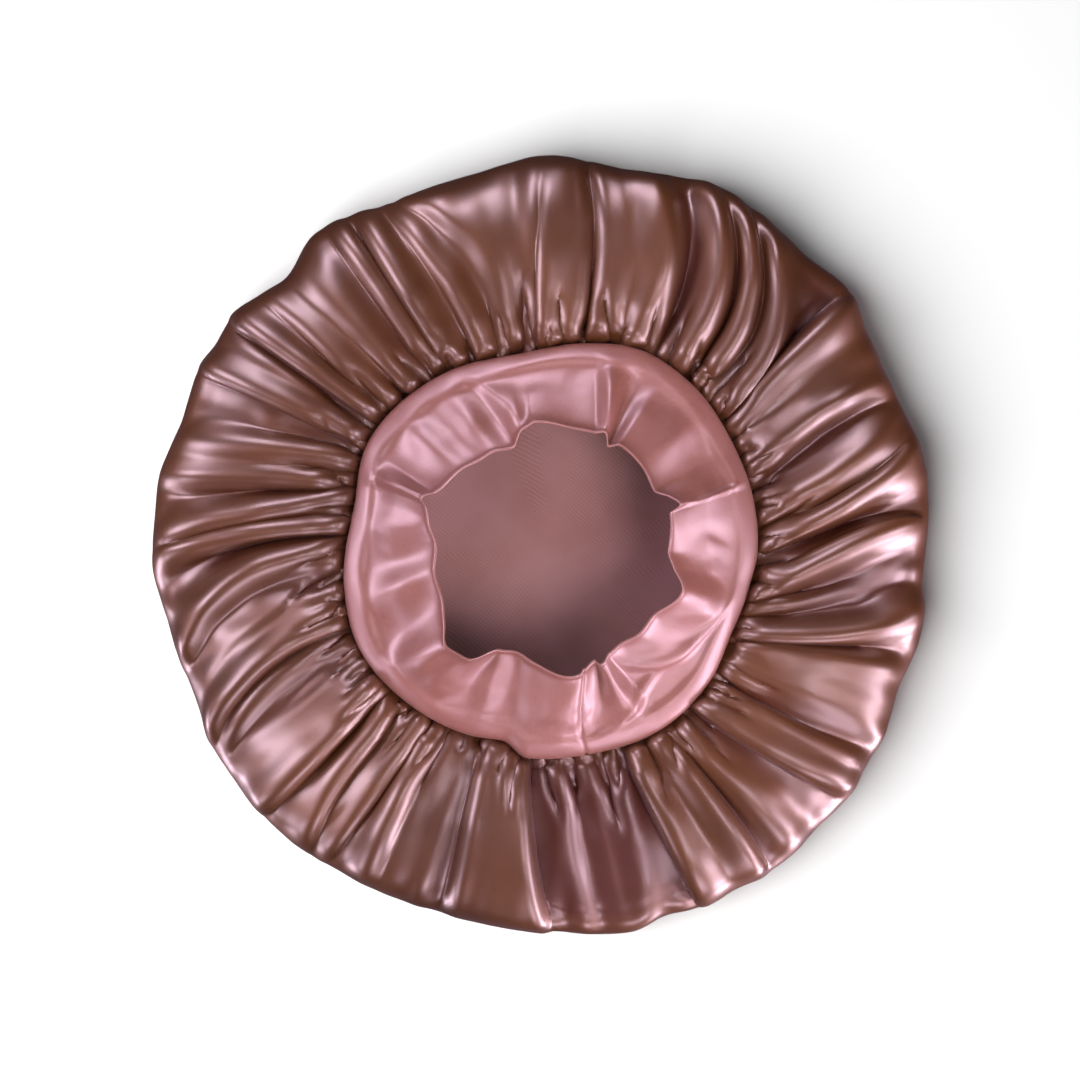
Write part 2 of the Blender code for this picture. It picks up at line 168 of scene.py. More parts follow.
# The crown's ridges and valleys, in order round the seam.
CROWN_PLEATS = [Pleat(*row) for row in (
    (-1.0, 5.5, 6.0, -3, -8, -1), (1.2, 8.8, 16.0, 3, 6, 4), (6.8, 11.0, 18.5, -3, -1, 1),
    (9.0, 15.0, 21.5, 3, 3, 0), (16.5, 23.0, 23.5, -4, -7, 0), (22.0, 27.3, 26.5, 3, 5, 2),
    (30.0, 33.0, 33.5, 0, 1, 2), (35.5, 38.4, 39.0, 2, 4, 3), (37.0, 40.6, 40.6, -4, -9, -3),
    (38.5, 43.5, 57.0, 3, 4, 4), (47.8, 47.6, 60.0, -2, -4, -1), (49.2, 50.5, 62.5, 2, 3, 3),
    (52.6, 53.6, 65.0, -4, -6, 1), (56.0, 57.5, 67.0, 3, 4, 2), (61.5, 64.0, 69.8, -6, -8, -4),
    (67.5, 68.4, 76.5, 4, 4.5, 4), (72.5, 75.0, 80.5, 0, 2.5, 3.5), (79.0, 79.0, 83.5, 3, 2, 3),
    (81.8, 81.8, 84.5, -6, -3, -1), (84.5, 84.5, 87.0, 3, 1.5, 1), (91.3, 91.0, 89.0, 4, 4, 2),
    (92.8, 92.5, 91.5, -4, 1, 0.5), (97.5, 97.5, 95.5, -5.5, 0, -1.5),
    (101.0, 101.5, 112.5, -3, 1.5, 3), (104.0, 106.0, 114.3, -4, -1, -1),
    (107.4, 111.0, 115.5, 4, 2.5, 0), (110.5, 113.5, 116.6, -3.5, -1, -1.5),
    (117.8, 118.9, 119.2, 4, 4, 2), (119.6, 120.6, 121.5, -4, -3.5, -2.5),
    (122.5, 123.0, 123.4, 1.5, 1.5, 2), (124.8, 125.4, 125.5, -4, -3.5, -1),
    (130.3, 130.8, 131.0, 3, 2, 1.5), (132.6, 133.5, 134.0, -2.5, 0, -1),
    (138.8, 137.8, 137.4, 3.5, 3, 2.5), (140.2, 139.6, 139.4, -2, -1, 1),
    (142.3, 143.0, 143.3, 3.5, 4, 4), (143.5, 144.1, 144.8, -5.5, -4.5, -2),
    (146.8, 147.0, 147.5, 2, 0, 0), (149.8, 150.9, 151.6, 3.5, 4, 4),
    (151.1, 152.2, 153.4, -4.5, -3, -2), (153.2, 156.5, 159.0, -2, -3, 0),
    (154.9, 160.2, 164.0, 4, 4, 3), (158.0, 163.0, 166.5, -3, 2, 2),
    (160.8, 165.5, 168.4, 3, 3.5, 1), (162.8, 168.5, 173.0, -4.5, -4.5, -2.5),
    (165.8, 173.0, 178.4, 3, 3.5, 4), (169.0, 175.0, 180.0, -3, -1, 3),
    (173.5, 176.8, 181.2, 4, 4, 3.5), (175.0, 178.6, 186.0, -6, -6.5, -2),
    (180.7, 184.2, 197.0, 4, 5.5, 5), (186.6, 189.0, 200.0, -5.5, -3.5, 0),
    (192.0, 194.5, 204.0, 1, 0.5, 1), (198.8, 200.7, 208.6, 5, 6, 5.5),
    (200.6, 202.4, 211.0, -4, -2.5, 0), (203.5, 205.2, 212.2, 0, 0, 0),
    (206.5, 208.4, 214.0, -3, -3.5, -1.5), (218.8, 220.7, 221.3, 6, 7, 6.5),
    (220.6, 222.4, 223.2, -3.5, -2.5, 1), (226.3, 226.5, 230.5, 3, 3.5, 2),
    (227.8, 228.4, 232.0, -1.5, -2.5, 0), (232.9, 233.4, 233.4, 2, 1.5, 1),
    (234.7, 235.0, 234.8, -5, -4, -1.5), (237.4, 238.6, 240.5, 1, 3.5, 4),
    (240.5, 241.5, 243.5, -1, -1.5, 2), (247.0, 248.0, 248.5, -3, -2, 0),
    (249.8, 251.6, 252.6, -3.5, -4, -3.5), (253.0, 255.0, 256.0, 2.5, 3, 3),
    (261.8, 264.6, 268.3, 4, 5, 5), (264.2, 266.4, 270.5, -7, -12, -7),
    (272.5, 273.3, 275.0, -5, -9, -5), (276.3, 276.5, 278.0, -8, -12, -6),
    (280.5, 281.0, 282.0, -5, -10, -5), (286.0, 286.5, 286.6, -4, -8, -3),
    (290.2, 291.7, 292.5, -7, -11, -6), (291.9, 293.4, 294.0, 2, 3, 3),
    (297.2, 297.8, 298.5, -1.5, 0, 1.5), (300.7, 302.6, 302.6, 3, 4, 5),
    (302.2, 304.5, 304.8, -5.5, -5.5, -4), (304.6, 308.5, 309.0, 1, 2, 1.5),
    (312.4, 316.3, 319.2, -5, -5, -2.5), (314.0, 318.0, 322.4, 3, 4.5, 5),
    (320.2, 323.0, 325.0, 2, 1.5, 2), (321.9, 324.8, 328.5, -5.5, -5, -2.5),
    (327.5, 332.0, 335.0, 1.5, 1.5, 2), (332.5, 338.0, 340.0, 2.5, 2.5, 2),
    (334.7, 341.4, 344.5, -6, -6, -2), (336.2, 343.0, 351.0, 4, 5.5, 6),
    (340.5, 349.5, 356.5, -3, -6, -4), (342.3, 351.8, 358.5, 2.5, -5, -3.5),
    (345.0, 354.0, 361.0, -3, -6, -3), (346.8, 360.0, 364.0, 4, 3.5, 0),
)]
# The band's ridges and valleys, in order round the seam.
BAND_PLEATS = [Pleat(*row) for row in (
    (18.5, 17.3, 17.0, 0, 3, 3), (21.0, 20.5, 19.5, -1, -2.5, -1.5),
    (28.0, 29.0, 29.0, 0, -2, -1), (41.0, 42.0, 43.0, 0.5, 1.5, 1),
    (53.0, 56.0, 56.8, -0.5, -1.5, -1.5), (61.0, 61.8, 60.6, -1.5, -3.5, -3),
    (74.0, 70.0, 64.5, 1, 3, 3), (79.0, 75.0, 70.0, 0, -1.5, -1), (96.0, 98.0, 99.0, 0, -2, -0.5),
    (117.0, 108.5, 104.5, 1, 3, 2.5), (120.0, 114.5, 110.5, 0, -2, -1.5),
    (124.0, 122.0, 120.0, 1, 0.5, 0.5), (130.0, 130.0, 129.0, -0.5, -1.5, -1),
    (139.0, 139.0, 138.0, 0.5, 0.5, 0.5), (149.0, 151.5, 153.5, -1, -2.5, -1),
    (159.3, 157.3, 158.0, 0, 4, 4), (162.3, 160.3, 160.8, -2, -0.5, -0.5),
    (172.0, 171.0, 170.0, 0, 1.5, 1), (185.5, 184.0, 180.0, -1, -2, -1.5),
    (196.0, 194.0, 191.0, 0, 1, 1), (212.5, 208.0, 205.0, -1.5, -2.5, -1),
    (216.5, 218.3, 222.3, 1, 3.5, 3.5), (226.0, 227.0, 230.0, 0.5, 1.5, 1.5),
    (235.0, 237.0, 238.0, 0, -1, -1), (245.0, 246.0, 245.0, 0, 0.5, 1),
    (251.0, 254.0, 256.0, -1, -1.5, -0.5), (272.0, 275.5, 282.0, 1, 2.5, 2),
    (283.5, 287.0, 291.6, -1, -3, -2.5), (298.0, 296.2, 294.2, 1, 2.5, 3),
    (305.0, 303.0, 299.5, 0, -3, -2), (330.0, 325.0, 317.0, 0, -1.5, -1),
    (346.0, 338.0, 333.0, 0.5, 1, 1), (352.0, 352.0, 350.0, -0.5, -1.5, -1),
)]
# Long creases that cross the band aslant, and the puckers by its join.
BAND_FOLDS = [
    Fold(372.0, 320.0, 301.0, 0.12, 1.00, 3.0, 5.0, 6.0, 1.6),
    Fold(274.0, 307.0, 340.0, 0.10, 0.62, 2.0, 5.0, 5.0, 1.8),
    Fold(278.0, 278.2, 281.5, 0.10, 0.55, 0.6, 1.6, 1.0, 1.5),
    Fold(282.0, 282.6, 287.5, 0.15, 0.70, 0.5, 1.0, 1.6, 1.5),
]
# The seam that joins the band's two ends.
JOIN = [Fold(280.0, 280.3, 285.2, 0.00, 1.00, -1.0, 0.6, 0.6, 1.6)]


def smooth_step(low: float, high: float, value: Array) -> Array:
    """0 below low, 1 above high, and an S curve between."""
    share = np.clip((value - low) / (high - low), 0.0, 1.0)
    return share * share * (3.0 - 2.0 * share)


def along_rows(places: Sequence[float], values: Sequence[float], at: Array) -> Array:
    """Runs a cubic through table rows without overshooting any of them.

    Args:
        places: The rows' places, rising.
        values: The rows' values.
        at: The places asked for.

    Returns:
        The value at each place asked for.
    """
    spots, heights = np.asarray(places, float), np.asarray(values, float)
    rates = np.diff(heights) / np.diff(spots)
    slopes = np.zeros(len(spots))
    same_way = rates[:-1] * rates[1:] > 0.0
    near, far = rates[:-1][same_way], rates[1:][same_way]
    slopes[1:-1][same_way] = 2.0 * near * far / (near + far)
    index = np.clip(np.searchsorted(spots, at, side="right") - 1, 0, len(spots) - 2)
    width = spots[index + 1] - spots[index]
    share = np.clip((at - spots[index]) / width, 0.0, 1.0)
    rest = 1.0 - share
    return (
        heights[index] * rest * rest * (1.0 + 2.0 * share)
        + heights[index + 1] * share * share * (3.0 - 2.0 * share)
        + width * slopes[index] * share * rest * rest
        - width * slopes[index + 1] * share * share * rest
    )


def all_round(rows: Sequence[Span], degrees: Array) -> Array:
    """Runs a smooth line through a table that closes on itself.

    Args:
        rows: Rows of (degrees, value), rising.
        degrees: The angles asked for.

    Returns:
        The value at each angle.
    """
    turns = [(row[0] + turn, row[1]) for turn in (-360.0, 0.0, 360.0) for row in rows]
    places, values = zip(*turns)
    return along_rows(places, values, degrees % 360.0)


def out_along(rows: Sequence[Section], cloth: Array) -> Array:
    """How far out a cross-section lies at each share of the cloth."""
    return along_rows([row.cloth for row in rows], [row.out for row in rows], cloth)


def up_along(rows: Sequence[Section], cloth: Array) -> Array:
    """How high a cross-section lies at each share of the cloth."""
    return along_rows([row.cloth for row in rows], [row.up for row in rows], cloth) * MM


def grain_turn(degrees: float) -> float:
    """How far the cloth turns on its way from an angle at the seam to the rim."""
    turns = [(row.seam, row.far - row.seam) for row in CROWN_GRAIN]
    return float(all_round(turns, np.array([degrees]))[0])


def turn_between(degrees: Array, other: Array | float) -> Array:
    """How far one angle is from another, from -180 to 180."""
    return (degrees - other + 180.0) % 360.0 - 180.0


def bowed(start: Array | float, middle: Array | float, end: Array | float, way: Array) -> Array:
    """The value that far along the way of a parabola through three values."""
    bend = 2.0 * (start + end - 2.0 * middle)
    return start + (end - start - bend) * way + bend * way * way


def as_mesh(sheet: bmesh.types.BMesh, name: str) -> bpy.types.Mesh:
    """Turns modelled geometry into a named mesh.

    Args:
        sheet: The geometry, which is freed.
        name: The mesh's name.

    Returns:
        The mesh.
    """
    mesh = bpy.data.meshes.new(name)
    sheet.to_mesh(mesh)
    sheet.free()
    return mesh


@dataclass
class Drape:
    """Raises folds on a cloth that runs out from the gathered seam.

    Attributes:
        folds: The folds it raises.
        spread_at_seam: A fold's width at the seam, against its stated width.
        spread_gain: What that gains by the far edge.
        fade: The share of its own length over which a fold comes and goes.
        crest: How far a fold is rounded over.
        least_flank: No flank is narrower than this.
    """

    folds: list[Fold]
    spread_at_seam: float = 0.6
    spread_gain: float = 0.8
    fade: float = 0.3
    crest: float = 2.0 * MM
    least_flank: float = 1.0 * MM

    def height(self, degrees: Array, way: Array, radius: Array) -> Array:
        """Adds up the folds.

        Args:
            degrees: Each point's angle.
            way: Its share of the way, 0 at the seam and 1 at the far edge.
            radius: Its distance from the middle of the band.

        Returns:
            How far the folds lift each point.
        """
        total = np.zeros_like(degrees)
        spread = (self.spread_at_seam + self.spread_gain * way) * MM
        for fold in self.folds:
            line = bowed(fold.seam, fold.middle, fold.edge, way)
            across = np.radians(turn_between(degrees, line)) * radius
            before = np.maximum(fold.before * spread, self.least_flank)
            after = np.maximum(fold.after * spread, self.least_flank)
            flank = np.where(across < 0.0, before, after)
            share = (np.hypot(across, self.crest) - self.crest) / flank
            bump = np.exp(-(share**fold.power))
            fade = self.fade * (fold.end - fold.start)
            if fold.end < 1.0:
                bump = bump * smooth_step(fold.end, fold.end - fade, way)
            if fold.start > 0.0:
                bump = bump * smooth_step(fold.start, fold.start + fade, way)
            total += fold.lift * MM * bump
        return total


@dataclass
class Pleating:
    """Lays a cloth in pleats, from ridge to valley all the way round.

    Attributes:
        rows: The ridges and valleys in order.
        crest: How far a ridge is rounded over.
        radii: How far the seam and the far edge usually lie from the middle.
    """

    rows: Sequence[Pleat]
    crest: float
    radii: Span

    def __post_init__(self) -> None:
        """Repeats the rows a turn before and after, and finds their places in the pattern."""
        once = np.array(self.rows, float)
        turn = np.array([360.0, 360.0, 360.0, 0.0, 0.0, 0.0])
        self.lines = np.concatenate([once - turn, once, once + turn])
        self.places = self.lines[:, :3] @ np.array([0.25, 0.5, 0.25])

    def across(self, pattern_degrees: Array, way: Array) -> Pair:
        """Carries the cloth from its angle in the pattern into its pleat.

        Args:
            pattern_degrees: Each point's angle in the pattern.
            way: Its share of the way, 0 at the seam and 1 at the far edge.

        Returns:
            Its angle in the bonnet, and how far the pleat lifts it.
        """
        turned = pattern_degrees % 360.0
        index = np.searchsorted(self.places, turned, side="right") - 1
        before, after = self.lines[index].T, self.lines[index + 1].T
        share = (turned - self.places[index]) / (self.places[index + 1] - self.places[index])
        start, end = bowed(*before[:3], way), bowed(*after[:3], way)
        left, right = bowed(*before[3:], way), bowed(*after[3:], way)
        radius = self.radii[0] + (self.radii[1] - self.radii[0]) * way
        gap = np.radians(np.abs(end - start)) * radius + 1e-6  # never quite nothing
        down = gap * np.where(right > left, 1.0 - share, share)
        fall, whole = np.hypot(down, self.crest), np.hypot(gap, self.crest)
        climb = 1.0 - (fall - self.crest) / (whole - self.crest)
        rise = np.abs(right - left) * (1.0 - np.cos(math.pi / 2.0 * climb))
        return start + (end - start) * share, (np.minimum(left, right) + rise) * MM


@dataclass
class ChanceFolds:
    """Makes up small folds by chance, the same each time.

    Attributes:
        count: How many.
        seed: Which set.
        start: Least and most share of the way where one starts.
        length: Least and most share that it runs.
        lift: Least and most height in millimetres, raised or sunk by chance.
        width: Least and most flank in millimetres.
        slant: The most degrees it turns aside on its way.
        power: How steep its flanks are.
    """

    count: int
    seed: int
    start: Span
    length: Span
    lift: Span
    width: Span
    slant: float
    power: float = 1.7

    def rows(self) -> list[Fold]:
        """Makes the folds up.

        Returns:
            Their rows.
        """
        chance = np.random.default_rng(self.seed)
        made = []
        for _ in range(self.count):
            angle, aside = chance.uniform(0.0, 360.0), chance.uniform(-self.slant, self.slant)
            start, length = chance.uniform(*self.start), chance.uniform(*self.length)
            lift = chance.uniform(*self.lift) * chance.choice((-1.0, 1.0))
            before, after = chance.uniform(*self.width, 2)
            far = grain_turn(angle)
            line = (angle, angle + far * 0.5 + aside, angle + far)
            made.append(Fold(*line, start, start + length, lift, before, after, self.power))
        return made


@dataclass
class GatherRow:
    """The small pleats drawn up along the seam: narrow pinches with puffs between.

    Attributes:
        count: How many pinches there are round the seam.
        seed: Which set of chance sizes.
        pinch: Least and most depth of a pinch in millimetres.
        puff: Least and most height of the puff beside it in millimetres.
        reach: Least and most share of the way that a pinch runs.
        spacing: Least and most step to the next pinch, against the usual one.
        lean: The most degrees a pinch leans by half way, and twice that by the rim.
        pinch_form: A pinch's two flanks in millimetres, and how steep they are.
        puff_form: The same of a puff.
        puff_share: How far a puff runs, against its pinch.
    """

    count: int = 98
    seed: int = 11
    pinch: Span = (3.0, 8.0)
    puff: Span = (1.0, 3.5)
    reach: Span = (0.10, 0.50)
    spacing: Span = (0.55, 1.45)
    lean: float = 5.0
    pinch_form: Triple = (1.9, 1.9, 1.4)
    puff_form: Triple = (3.4, 3.4, 2.0)
    puff_share: float = 0.8

    def rows(self) -> list[Fold]:
        """Makes the pinches and puffs up.

        Returns:
            Their rows.
        """
        chance = np.random.default_rng(self.seed)
        steps = chance.uniform(*self.spacing, self.count)
        places = np.cumsum(steps) * 360.0 / steps.sum()
        made = []
        for place, step in zip(places, steps):
            half = step * 360.0 / self.count / 2.0
            lean = chance.uniform(-self.lean, self.lean)
            reach = chance.uniform(*self.reach)
            far = grain_turn(place)
            line = (place, place + far * 0.5 + lean, place + far + lean * 2.0)
            made.append(Fold(*line, 0.0, reach, -chance.uniform(*self.pinch), *self.pinch_form))
            beside = tuple(angle - half for angle in line)
            run, height = reach * self.puff_share, chance.uniform(*self.puff)
            made.append(Fold(*beside, 0.0, run, height, *self.puff_form))
        return made


@dataclass
class Ripple:
    """The slight unevenness of a soft cloth: waves that cross in every direction.

    Attributes:
        count: How many waves.
        seed: Which set.
        length: Least and most wavelength.
        rise: How far they lift the cloth, as a usual value.
    """

    count: int = 22
    seed: int = 4
    length: Span = (14.0 * MM, 42.0 * MM)
    rise: float = 0.18 * MM

    def height(self, degrees: Array, radius: Array) -> Array:
        """Adds up the waves.

        Args:
            degrees: Each point's angle.
            radius: Its distance from the middle of the band.

        Returns:
            How far the waves lift each point.
        """
        chance = np.random.default_rng(self.seed)
        angle = np.radians(degrees)
        right, up = radius * np.cos(angle), radius * np.sin(angle)
        total = np.zeros_like(degrees)
        for _ in range(self.count):
            length = chance.uniform(*self.length)
            heading = chance.uniform(0.0, math.tau)
            start = chance.uniform(0.0, math.tau)
            along = right * math.cos(heading) + up * math.sin(heading)
            total += np.sin(math.tau * along / length + start) * length
        usual = math.sqrt(self.count / 2.0) * sum(self.length) / 2.0
        return total * self.rise / usual


class Nodes:
    """Builds a material's node tree."""

    def __init__(self, name: str) -> None:
        """Starts a material with an empty tree."""
        self.material = bpy.data.materials.new(name)
        self.material.use_nodes = True
        self.tree = self.material.node_tree
        self.tree.nodes.clear()

    def add(self, kind: str, settings: dict | None = None, **inputs: object) -> bpy.types.Node:
        """Adds a node, sets its settings and sockets, and links sockets given as sockets.

        Args:
            kind: The node's type, without the ShaderNode that it begins with.
            settings: Its properties by name.
            **inputs: Its sockets by name, with spaces written as underscores.

        Returns:
            The node.
        """
        node = self.tree.nodes.new("ShaderNode" + kind)
        for key, value in (settings or {}).items():
            setattr(node, key, value)
        for key, value in inputs.items():
            self.feed(node.inputs[key.replace("_", " ")], value)
        return node

    def feed(self, socket: bpy.types.NodeSocket, value: object) -> None:
        """Feeds a socket from another socket, or sets it to a plain value.

        Args:
            socket: The socket that is fed.
            value: What feeds it.
        """
        if isinstance(value, bpy.types.NodeSocket):
            self.tree.links.new(value, socket)
        else:
            socket.default_value = value

    def operate(
        self, kind: str, operation: str, *terms: object, **inputs: object
    ) -> bpy.types.NodeSocket:
        """Adds a node that works something out of numbered sockets.

        Args:
            kind: The node's type, as above.
            operation: What it works out.
            *terms: What feeds its sockets, in order.
            **inputs: The sockets that have a name of their own.

        Returns:
            The result.
        """
        node = self.add(kind, {"operation": operation}, **inputs)
        for socket, term in zip(node.inputs, terms):
            self.feed(socket, term)
        return node.outputs[0]

    def twill(self, **inputs: object) -> bpy.types.NodeSocket:
        """Adds the slanting ribs of a woven cloth with these sockets, and returns their height."""
        slant = {"wave_type": "BANDS", "bands_direction": "DIAGONAL"}
        return self.add("TexWave", slant, **inputs).outputs["Fac"]

    def noise(self, **inputs: object) -> bpy.types.NodeSocket:
        """Adds a noise with these sockets, and returns its height."""
        return self.add("TexNoise", **inputs).outputs["Fac"]

    def bump(self, **inputs: object) -> bpy.types.NodeSocket:
        """Adds a bump with these sockets, and returns the bumped normal."""
        return self.add("Bump", **inputs).outputs["Normal"]

    def finished(self, **inputs: object) -> bpy.types.Material:
        """Ends the tree in a principled shader with these sockets, and returns the material."""
        shader = self.add("BsdfPrincipled", **inputs)
        self.add("OutputMaterial", Surface=shader.outputs["BSDF"])
        return self.material

    def ramp(self, factor: bpy.types.NodeSocket, stops: Sequence[tuple]) -> bpy.types.NodeSocket:
        """Adds a colour ramp.

        Args:
            factor: What it is read by.
            stops: Its (place, colour) stops.

        Returns:
            The colour.
        """
        node = self.add("ValToRGB", Fac=factor)
        band = node.color_ramp
        while len(band.elements) < len(stops):
            band.elements.new(0.5)
        for element, (place, colour) in zip(band.elements, stops):
            element.position = place
            element.color = (*colour, 1.0)
        return node.outputs["Color"]


@dataclass(frozen=True)
class SatinFinish:
    """The right side of a satin: a deep body colour under a silky, tinted gloss, with shade painted
    into its deepest folds where asked.

    Attributes:
        name: The material's name.
        deep: Body colour where the dye looks darkest.
        light: Body colour where it looks lightest.
        gloss: Tint of the gloss.
        bloom: Tint of the soft bloom at grazing angles.
        roughness: How far the gloss spreads.
        anisotropy: How far it is drawn out along the floats.
        bloom_weight: Strength of the bloom.
        specular: Strength of the gloss.
        metallic: How much of the gloss takes the body's own colour.
        glaze: Strength of a narrower, untinted gloss on top.
        painted_fold_shade: Painted shade: how much of each of the body's primaries is left where the
            folds lie deepest, so the body colour darkens and turns plum there.
    """

    name: str
    deep: Triple
    light: Triple
    gloss: Triple
    bloom: Triple
    roughness: float
    anisotropy: float
    bloom_weight: float
    specular: float
    metallic: float
    glaze: float
    painted_fold_shade: Triple = WHITE

    def material(self) -> bpy.types.Material:
        """Builds the material.

        Returns:
            The material.
        """
        nodes = Nodes(self.name)
        place = nodes.add("TexCoord")
        cloth, solid = place.outputs["UV"], place.outputs["Object"]
        cloud = nodes.noise(Vector=solid, Scale=14.0, Detail=3.0, Roughness=0.55)
        tone = nodes.ramp(cloud, [(0.3, self.deep), (0.7, self.light)])
        # Painted shade: the body colour is darkened, and turned plum, by how deep each point lies in
        # the folds.
        fold_depth_for_shade = nodes.add("Attribute", {"attribute_name": "painted_fold_shade"})
        painted_shade = nodes.ramp(fold_depth_for_shade.outputs["Fac"], [(0.0, WHITE), (1.0, self.painted_fold_shade)])
        tone_with_painted_shade = nodes.operate("VectorMath", "MULTIPLY", tone, painted_shade)
        threads = nodes.add("Mapping", Vector=cloth, Scale=(2600.0, 240.0, 1.0))
        slub = nodes.noise(Vector=threads.outputs["Vector"], Scale=1.0, Detail=2.0)
        shade = nodes.add("MapRange", Value=slub, From_Min=0.3, From_Max=0.7, To_Min=0.88, To_Max=1.12)
        low, high = self.roughness - 0.10, self.roughness + 0.10
        rough = nodes.add("MapRange", Value=slub, To_Min=low, To_Max=high)
        weave = nodes.twill(Vector=cloth, Scale=620.0, Distortion=0.6, Detail=1.0)
        crinkle = nodes.noise(Vector=solid, Scale=70.0, Detail=3.0, Roughness=0.5)
        grain = nodes.noise(Vector=solid, Scale=1300.0, Detail=1.0)
        fine = nodes.bump(Height=weave, Strength=0.04, Distance=0.2 * MM)
        soft = nodes.bump(Height=crinkle, Strength=0.06, Distance=1.5 * MM, Normal=fine)
        speckled = nodes.bump(Height=grain, Strength=0.25, Distance=0.2 * MM, Normal=soft)
        tangent = nodes.add("Tangent", {"direction_type": "UV_MAP", "uv_map": "pattern"})
        return nodes.finished(
            Base_Color=nodes.operate("VectorMath", "SCALE", tone_with_painted_shade, Scale=shade.outputs["Result"]),
            Roughness=rough.outputs["Result"],
            Normal=speckled,
            Tangent=tangent.outputs["Tangent"],
            IOR=1.65,
            Metallic=self.metallic,
            Coat_Weight=self.glaze,
            Coat_Roughness=low,
            Coat_IOR=1.7,
            Specular_IOR_Level=self.specular,
            Specular_Tint=(*self.gloss, 1.0),
            Anisotropic=self.anisotropy,
            Sheen_Weight=self.bloom_weight,
            Sheen_Roughness=0.35,
            Sheen_Tint=(*self.bloom, 1.0),
        )


@dataclass(frozen=True)
class ReverseFinish:
    """The dull reverse of the crown's satin, where its fine twill shows.

    Attributes:
        name: The material's name.
        deep: The darker of its two thread colours.
        light: The lighter one.
    """

    name: str
    deep: Triple
    light: Triple

    def material(self) -> bpy.types.Material:
        """Builds the material.

        Returns:
            The material.
        """
        nodes = Nodes(self.name)
        place = nodes.add("TexCoord")
        cloth, solid = place.outputs["UV"], place.outputs["Object"]
        twill = nodes.twill(Vector=cloth, Scale=330.0, Distortion=1.2, Detail=2.0)
        cloud = nodes.noise(Vector=solid, Scale=22.0, Detail=4.0)
        faint = nodes.add("MapRange", Value=twill, To_Min=0.0, To_Max=0.25)
        mix = nodes.operate("Math", "MULTIPLY_ADD", cloud, 1.2, faint.outputs["Result"])
        crease = nodes.noise(Vector=solid, Scale=16.0, Detail=2.0)
        soft = nodes.bump(Height=crease, Strength=0.35, Distance=4.0 * MM)
        ribbed = nodes.bump(Height=twill, Strength=0.08, Distance=0.2 * MM, Normal=soft)
        return nodes.finished(
            Base_Color=nodes.ramp(mix, [(0.45, self.deep), (0.95, self.light)]),
            Roughness=0.62,
            Normal=ribbed,
            Sheen_Weight=0.25,
            Sheen_Roughness=0.5,
            Sheen_Tint=(0.85, 0.75, 0.85, 1.0),
        )


CROWN_SATIN = SatinFinish(
    name="crown_satin_right_side",
    deep=(0.042, 0.0110, 0.0020),
    light=(0.078, 0.0250, 0.0056),
    gloss=(0.97, 0.60, 0.45),
    bloom=(0.90, 0.65, 0.85),
    roughness=0.48,
    anisotropy=0.5,
    specular=0.5,
    metallic=0.35,
    glaze=1.0,
    bloom_weight=0.02,
    # Painted shade: the deepest folds keep this share of the body colour, darker and more plum.
    painted_fold_shade=(0.72, 0.42, 1.0),
)
BAND_SATIN = SatinFinish(
    name="band_satin_right_side",
    deep=(0.132, 0.045, 0.030),
    light=(0.174, 0.063, 0.044),
    gloss=(1.00, 0.90, 1.00),
    bloom=(1.0, 0.75, 0.92),
    roughness=0.50,
    anisotropy=0.45,
    specular=0.9,
    metallic=0.15,
    glaze=0.45,
    bloom_weight=0.05,
)
CROWN_REVERSE = ReverseFinish(
    name="crown_satin_reverse",
    deep=(0.196, 0.082, 0.072),
    light=(0.268, 0.130, 0.130),
)


